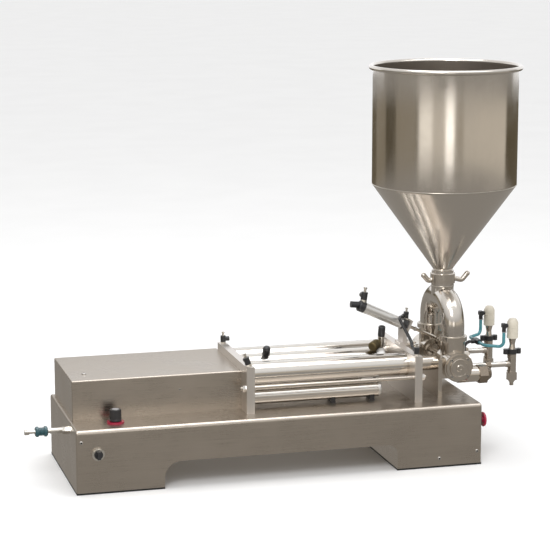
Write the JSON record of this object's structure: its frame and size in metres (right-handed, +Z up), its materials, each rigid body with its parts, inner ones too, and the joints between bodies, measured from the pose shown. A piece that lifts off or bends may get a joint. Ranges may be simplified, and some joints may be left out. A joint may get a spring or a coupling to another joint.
{
  "type": "piston liquid filler",
  "caption": "Bench-top piston filler: stainless base and housing, parallel product cylinders, rotary valves, Y manifold, deep conical hopper and shut-off nozzles.",
  "frame": {"origin": "bottom centre of the whole machine, on the floor under the foot pads", "axes": "+X along the machine towards the nozzles, +Y towards the back, +Z up; the operator side faces -Y"},
  "size_m": [1.255, 0.406, 0.962],
  "materials": {
    "stainless_panel": "brushed stainless sheet, horizontal grain",
    "stainless_polished": "polished stainless tube",
    "stainless_machined": "machined stainless, satin",
    "stainless_hopper": "spun and brushed stainless",
    "aluminium": "clear anodised, satin",
    "nickel": "nickel-plated brass",
    "black_plastic": "black moulded plastic",
    "grey_plastic": "grey moulded plastic",
    "cream_plastic": "cream moulded plastic",
    "red_plastic": "dark red moulded plastic",
    "black_rubber": "black rubber",
    "seal": "food-grade seal",
    "sintered_bronze": "dark sintered bronze",
    "blue_tube": "blue-green air tube",
    "black_tube": "black air tube",
    "teal_sleeve": "dark blue-green lacquered sleeve",
    "steel_fastener": "stainless fastener",
    "dark_steel": "dark stainless hexagon"
  },
  "bodies": {
    "machine": {"base_cabinet": "stainless_panel", "foot_pads": "black_rubber", "rear_housing": "stainless_panel", "rear_plate": "stainless_machined", "front_plate": "stainless_machined", "product_cylinder_front": "stainless_polished", "product_cylinder_back": "stainless_polished", "tie_rods": "stainless_machined", "tie_rod_nuts": "steel_fastener", "drive_cylinder": "stainless_polished", "guide_tubes": "stainless_polished", "cylinder_caps": "aluminium", "guide_feet": "black_plastic", "valve_body_front": "stainless_machined", "valve_body_back": "stainless_machined", "valve_mount_plate": "stainless_machined", "valve_adapters": "stainless_machined", "valve_covers": "stainless_machined", "valve_unions": "dark_steel", "outlet_pipes": "stainless_polished", "manifold_flanges": "stainless_machined", "actuator_barrel": "aluminium", "actuator_end_caps": "black_plastic", "actuator_bracket": "aluminium", "feed_manifold": "stainless_hopper", "hopper_union": "stainless_hopper", "hopper": "stainless_hopper", "nozzle_bodies": "stainless_machined", "nozzle_collars": "black_plastic", "nozzle_necks": "stainless_machined", "nozzle_actuators": "cream_plastic", "fitting_feet": "nickel", "fitting_bodies": "black_plastic", "fitting_needles": "nickel", "push_in_elbows": "grey_plastic", "silencer": "sintered_bronze", "nozzle_air_tubes": "blue_tube", "supply_air_tubes": "black_tube", "button_collar": "black_plastic", "regulator_ring": "red_plastic", "selector_bezel": "nickel", "screws": "steel_fastener", "air_inlet_nipple": "nickel", "air_inlet_plug": "nickel"},
    "carriage": {"crosshead": "aluminium", "crosshead_nuts": "steel_fastener", "product_pistons": "stainless_machined", "piston_seals": "seal", "drive_piston_rod": "stainless_machined", "guide_rods": "stainless_machined"},
    "valve_shaft": {"valve_rotor": "stainless_machined", "valve_crank": "stainless_machined"},
    "actuator_rod": {"actuator_rod": "stainless_machined"},
    "front_needle": {"nozzle_needle_front": "stainless_machined"},
    "back_needle": {"nozzle_needle_back": "stainless_machined"},
    "stop_button": {"stop_button": "red_plastic"},
    "regulator_knob": {"regulator_knob": "black_plastic"},
    "selector": {"selector_switch": "black_plastic"},
    "inlet_sleeve": {"air_inlet_sleeve": "teal_sleeve"},
    "wing_nut": {"hopper_wing_nut": "stainless_machined"}
  },
  "joints": [
    {"name": "dosing_stroke", "type": "slide", "parent": "machine", "child": "carriage", "axis": [1, 0, 0], "range_m": [-0.3, 0]},
    {"name": "actuator_stroke", "type": "slide", "parent": "machine", "child": "actuator_rod", "axis": [0.9085, 0, -0.4179], "range_m": [0, 0.05162]},
    {"name": "valve_turn", "type": "hinge", "parent": "machine", "child": "valve_shaft", "pos_m": [0.4385, 0.014, 0.228], "axis": [0, 1, 0], "range_deg": [0, 70]},
    {"name": "front_needle_lift", "type": "slide", "parent": "machine", "child": "front_needle", "axis": [0, 0, 1], "range_m": [0, 0.008], "stiffness_N_per_m": 400},
    {"name": "back_needle_lift", "type": "slide", "parent": "machine", "child": "back_needle", "axis": [0, 0, 1], "range_m": [0, 0.008], "stiffness_N_per_m": 400},
    {"name": "stop_button_press", "type": "slide", "parent": "machine", "child": "stop_button", "axis": [-1, 0, 0], "range_m": [0, 0.006], "stiffness_N_per_m": 600},
    {"name": "regulator_turn", "type": "hinge", "parent": "machine", "child": "regulator_knob", "pos_m": [-0.4225, -0.127, 0.153], "axis": [0, 0, 1], "range_deg": [-150, 150]},
    {"name": "selector_turn", "type": "hinge", "parent": "machine", "child": "selector", "pos_m": [-0.4755, -0.184, 0.096], "axis": [0, 1, 0], "range_deg": [-45, 45]},
    {"name": "inlet_sleeve_slide", "type": "slide", "parent": "machine", "child": "inlet_sleeve", "axis": [1, 0, 0], "range_m": [0, 0.005]},
    {"name": "wing_nut_turn", "type": "hinge", "parent": "machine", "child": "wing_nut", "pos_m": [0.4385, 0.014, 0.431], "axis": [0, 0, 1], "continuous": true}
  ],
  "couplings": [
    {"joint": "valve_turn", "follows": "actuator_stroke", "rad_per_m": 23.667},
    {"joint": "back_needle_lift", "follows": "front_needle_lift", "ratio": 1}
  ]
}
